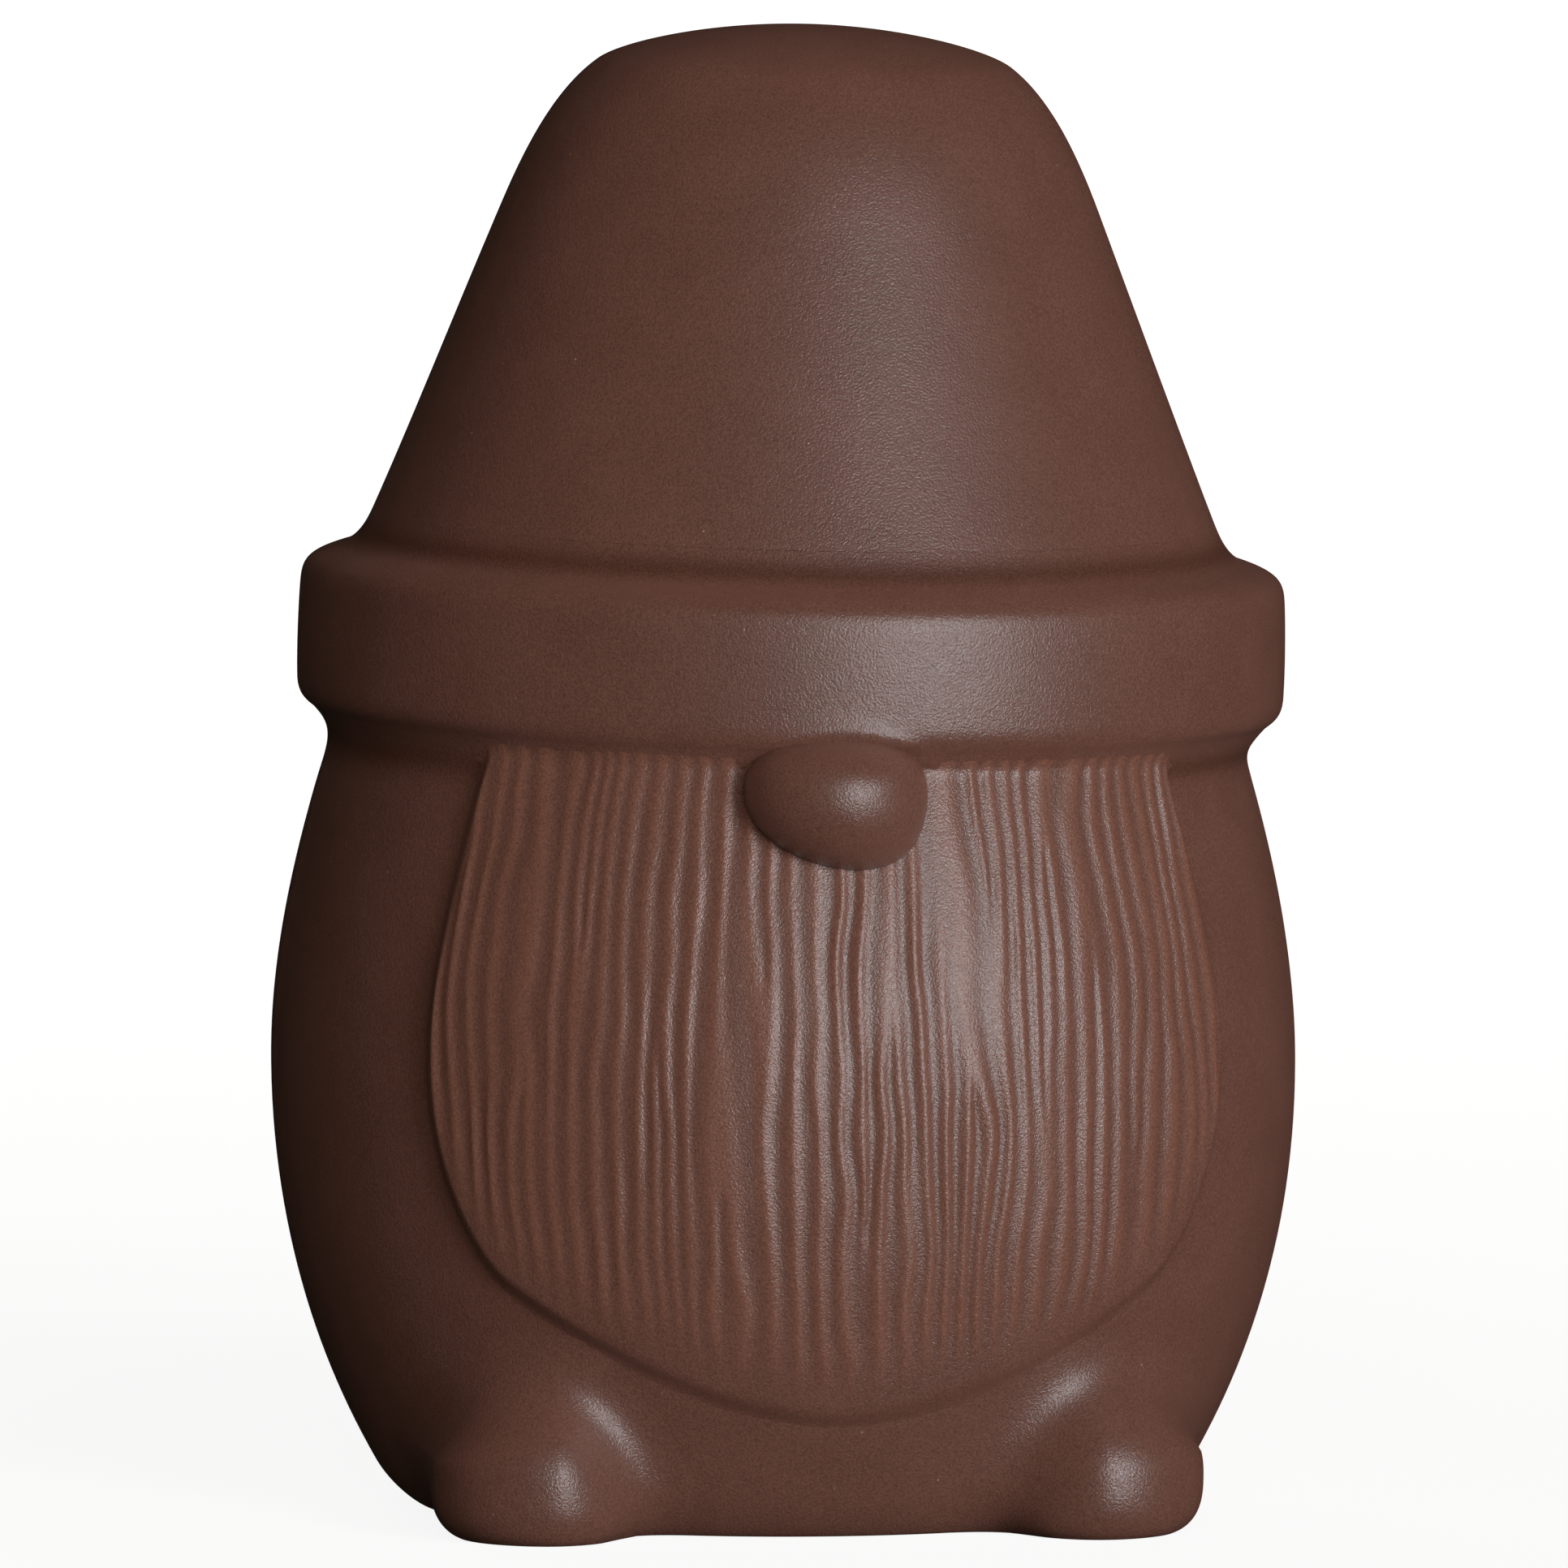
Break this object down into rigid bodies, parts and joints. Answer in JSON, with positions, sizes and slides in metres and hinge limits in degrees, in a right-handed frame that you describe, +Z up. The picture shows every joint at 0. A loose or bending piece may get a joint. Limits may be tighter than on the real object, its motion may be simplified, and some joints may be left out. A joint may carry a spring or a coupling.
{
  "type": "gnome figurine",
  "caption": "Barrel-bodied ceramic gnome figurine with a tall flat-topped hat, rolled brim, egg nose, ribbed beard and two round feet.",
  "frame": {"origin": "on the plane that the figurine stands on, on the axis of the body", "axes": "+Z up along the body's axis; the figure faces -Y; +X is on the right of a viewer who faces it"},
  "size_m": [0.104, 0.1088, 0.1503],
  "materials": {
    "brown_glaze": "satin",
    "bare_clay": "matte"
  },
  "bodies": {
    "root": {"hat_crown": "brown_glaze", "hat_brim": "brown_glaze", "body_shell": "brown_glaze", "beard": "brown_glaze", "nose": "brown_glaze", "left_foot": "brown_glaze", "right_foot": "brown_glaze", "base_plate": "bare_clay"}
  },
  "joints": []
}
